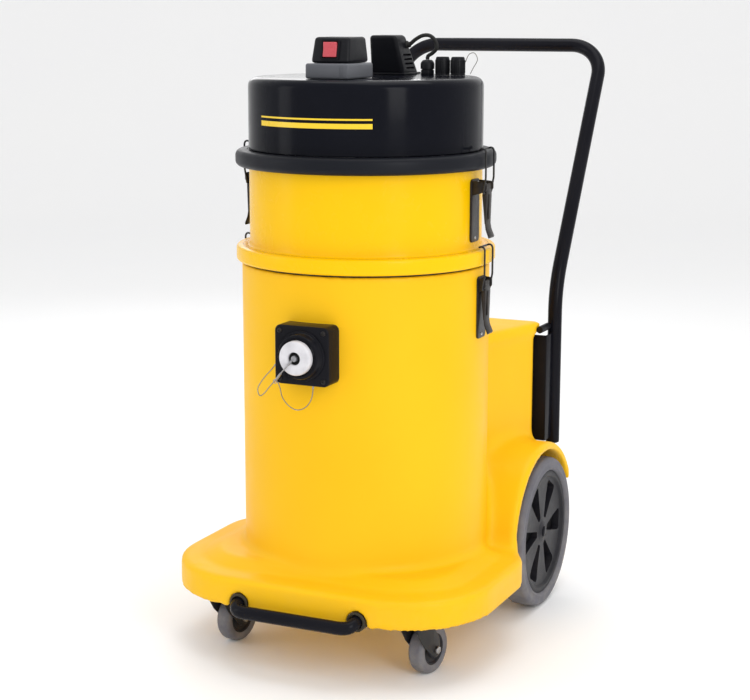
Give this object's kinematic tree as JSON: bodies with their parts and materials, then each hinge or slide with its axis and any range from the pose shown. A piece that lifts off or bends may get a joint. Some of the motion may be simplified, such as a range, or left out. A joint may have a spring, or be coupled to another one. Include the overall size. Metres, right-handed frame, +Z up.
{
  "type": "shop vacuum",
  "caption": "Industrial drum vacuum on a moulded wheeled chassis, with a clamped filter chamber and motor head, swivel casters and a bent tube push handle.",
  "frame": {"origin": "centre of the footprint box, on the floor", "axes": "+Z up, front with the inlet towards -Y, handle towards +Y"},
  "size_m": [0.516, 0.8817, 0.9438],
  "materials": {
    "moulded_yellow": "rotationally moulded, satin",
    "painted_yellow": "gloss powder coat",
    "satin_grey": "satin dark grey",
    "gloss_black": "gloss enamel",
    "silver_plastic": "satin silver",
    "black_plastic": "fine grain",
    "red_plastic": "translucent red",
    "black_rubber": "matt",
    "steel_wire": "stranded wire",
    "bright_steel": "zinc plated",
    "white_plastic": "gloss",
    "filter_cloth": "needle felt",
    "motor_steel": "drawn steel",
    "black_tube": "gloss black tube",
    "grey_rubber": "non-marking grey",
    "hub_grey": "satin dark grey",
    "black_latch": "black zinc",
    "black_wire": "black zinc wire"
  },
  "bodies": {
    "chassis": {"chassis_body": "moulded_yellow", "inlet_lanyard": "steel_wire", "rear_axle": "bright_steel", "axle_carrier_left": "bright_steel", "axle_carrier_right": "bright_steel", "handle_tube": "black_tube", "handle_bracket_left": "black_tube", "handle_bracket_right": "black_tube", "handle_stud_left": "black_plastic", "handle_stud_right": "black_plastic", "foot_bar": "black_tube", "foot_bush_left": "black_rubber", "foot_bush_right": "black_rubber", "inlet_plate": "black_plastic", "inlet_gasket": "black_rubber", "inlet_deflector": "bright_steel", "dust_bag": "filter_cloth", "caster_plate_left": "bright_steel", "caster_plate_right": "bright_steel", "latch_base_lower_left": "black_latch", "latch_base_lower_right": "black_latch", "container_seal": "black_rubber"},
    "chamber": {"filter_chamber": "painted_yellow", "filter_cartridge": "filter_cloth", "filter_ring": "black_plastic", "latch_base_upper_left": "black_latch", "latch_base_upper_right": "black_latch", "chamber_seal": "black_rubber"},
    "head": {"head_base": "satin_grey", "motor_cover": "gloss_black", "motor_front": "motor_steel", "motor_rear": "motor_steel", "pod_plinth": "silver_plastic", "switch_pod": "black_plastic", "exhaust_cowl": "black_plastic", "motor_lead": "black_rubber", "lead_gland": "black_plastic", "port_lanyard": "steel_wire"},
    "inlet_plug": {"inlet_cap": "white_plastic"},
    "rocker": {"rocker_switch": "red_plastic"},
    "cap_inner": {"port_cap_inner": "black_plastic"},
    "cap_outer": {"port_cap_outer": "black_plastic"},
    "fan_front": {"fan_rotor_front": "bright_steel"},
    "fan_rear": {"fan_rotor_rear": "bright_steel"},
    "lever_lower_left": {"latch_lever_lower_left": "black_latch"},
    "bail_lower_left": {"latch_bail_lower_left": "black_wire"},
    "lever_lower_right": {"latch_lever_lower_right": "black_latch"},
    "bail_lower_right": {"latch_bail_lower_right": "black_wire"},
    "lever_upper_left": {"latch_lever_upper_left": "black_latch"},
    "bail_upper_left": {"latch_bail_upper_left": "black_wire"},
    "lever_upper_right": {"latch_lever_upper_right": "black_latch"},
    "bail_upper_right": {"latch_bail_upper_right": "black_wire"},
    "rear_wheel_left": {"wheel_tyre_left": "grey_rubber", "wheel_hub_left": "hub_grey"},
    "fork_left": {"caster_fork_left": "bright_steel"},
    "caster_left": {"caster_wheel_left": "grey_rubber"},
    "rear_wheel_right": {"wheel_tyre_right": "grey_rubber", "wheel_hub_right": "hub_grey"},
    "fork_right": {"caster_fork_right": "bright_steel"},
    "caster_right": {"caster_wheel_right": "grey_rubber"}
  },
  "joints": [
    {"name": "chamber_lift", "type": "slide", "parent": "chassis", "child": "chamber", "axis": [0, 0, 1], "range_m": [0, 0.3]},
    {"name": "head_lift", "type": "slide", "parent": "chamber", "child": "head", "axis": [0, 0, 1], "range_m": [0, 0.3]},
    {"name": "inlet_plug_pull", "type": "slide", "parent": "chassis", "child": "inlet_plug", "axis": [0, -1, 0], "range_m": [0, 0.06]},
    {"name": "rocker_tilt", "type": "hinge", "parent": "head", "child": "rocker", "pos_m": [0, -0.28917, 0.922], "axis": [1, 0, 0], "range_deg": [-16, 0]},
    {"name": "cap_inner_turn", "type": "hinge", "parent": "head", "child": "cap_inner", "pos_m": [0.085, -0.06717, 0.8942], "axis": [0, 0, 1], "continuous": true},
    {"name": "cap_outer_turn", "type": "hinge", "parent": "head", "child": "cap_outer", "pos_m": [0.1105, -0.06717, 0.8942], "axis": [0, 0, 1], "continuous": true},
    {"name": "fan_front_spin", "type": "hinge", "parent": "head", "child": "fan_front", "pos_m": [0, -0.24717, 0.7749], "axis": [0, 0, 1], "continuous": true},
    {"name": "fan_rear_spin", "type": "hinge", "parent": "head", "child": "fan_rear", "pos_m": [0, -0.08717, 0.7749], "axis": [0, 0, 1], "continuous": true},
    {"name": "lever_lower_left_open", "type": "hinge", "parent": "chassis", "child": "lever_lower_left", "pos_m": [-0.1995, -0.16717, 0.575], "axis": [0, 1, 0], "range_deg": [0, 110]},
    {"name": "bail_lower_left_swing", "type": "hinge", "parent": "lever_lower_left", "child": "bail_lower_left", "pos_m": [-0.2003, -0.16717, 0.565], "axis": [0, 1, 0], "range_deg": [-138, 0]},
    {"name": "lever_lower_right_open", "type": "hinge", "parent": "chassis", "child": "lever_lower_right", "pos_m": [0.1995, -0.16717, 0.575], "axis": [0, -1, 0], "range_deg": [0, 110]},
    {"name": "bail_lower_right_swing", "type": "hinge", "parent": "lever_lower_right", "child": "bail_lower_right", "pos_m": [0.2003, -0.16717, 0.565], "axis": [0, -1, 0], "range_deg": [-138, 0]},
    {"name": "lever_upper_left_open", "type": "hinge", "parent": "chamber", "child": "lever_upper_left", "pos_m": [-0.1995, -0.16717, 0.7211], "axis": [0, 1, 0], "range_deg": [0, 110]},
    {"name": "bail_upper_left_swing", "type": "hinge", "parent": "lever_upper_left", "child": "bail_upper_left", "pos_m": [-0.2003, -0.16717, 0.7111], "axis": [0, 1, 0], "range_deg": [-138, 0]},
    {"name": "lever_upper_right_open", "type": "hinge", "parent": "chamber", "child": "lever_upper_right", "pos_m": [0.1995, -0.16717, 0.7211], "axis": [0, -1, 0], "range_deg": [0, 110]},
    {"name": "bail_upper_right_swing", "type": "hinge", "parent": "lever_upper_right", "child": "bail_upper_right", "pos_m": [0.2003, -0.16717, 0.7111], "axis": [0, -1, 0], "range_deg": [-138, 0]},
    {"name": "rear_wheel_left_roll", "type": "hinge", "parent": "chassis", "child": "rear_wheel_left", "pos_m": [-0.208, 0.05483, 0.125], "axis": [1, 0, 0], "continuous": true},
    {"name": "swivel_left_turn", "type": "hinge", "parent": "chassis", "child": "fork_left", "pos_m": [-0.164, -0.33717, 0.09], "axis": [0, 0, 1], "continuous": true},
    {"name": "caster_left_roll", "type": "hinge", "parent": "fork_left", "child": "caster_left", "pos_m": [-0.15866, -0.30968, 0.0375], "axis": [0.9816, -0.1908, 0], "continuous": true},
    {"name": "rear_wheel_right_roll", "type": "hinge", "parent": "chassis", "child": "rear_wheel_right", "pos_m": [0.208, 0.05483, 0.125], "axis": [1, 0, 0], "continuous": true},
    {"name": "swivel_right_turn", "type": "hinge", "parent": "chassis", "child": "fork_right", "pos_m": [0.164, -0.33717, 0.09], "axis": [0, 0, 1], "continuous": true},
    {"name": "caster_right_roll", "type": "hinge", "parent": "fork_right", "child": "caster_right", "pos_m": [0.16934, -0.30968, 0.0375], "axis": [0.9816, -0.1908, 0], "continuous": true}
  ],
  "couplings": [
    {"joint": "bail_lower_left_swing", "follows": "lever_lower_left_open", "ratio": -1.25},
    {"joint": "bail_lower_right_swing", "follows": "lever_lower_right_open", "ratio": -1.25},
    {"joint": "bail_upper_left_swing", "follows": "lever_upper_left_open", "ratio": -1.25},
    {"joint": "bail_upper_right_swing", "follows": "lever_upper_right_open", "ratio": -1.25}
  ]
}
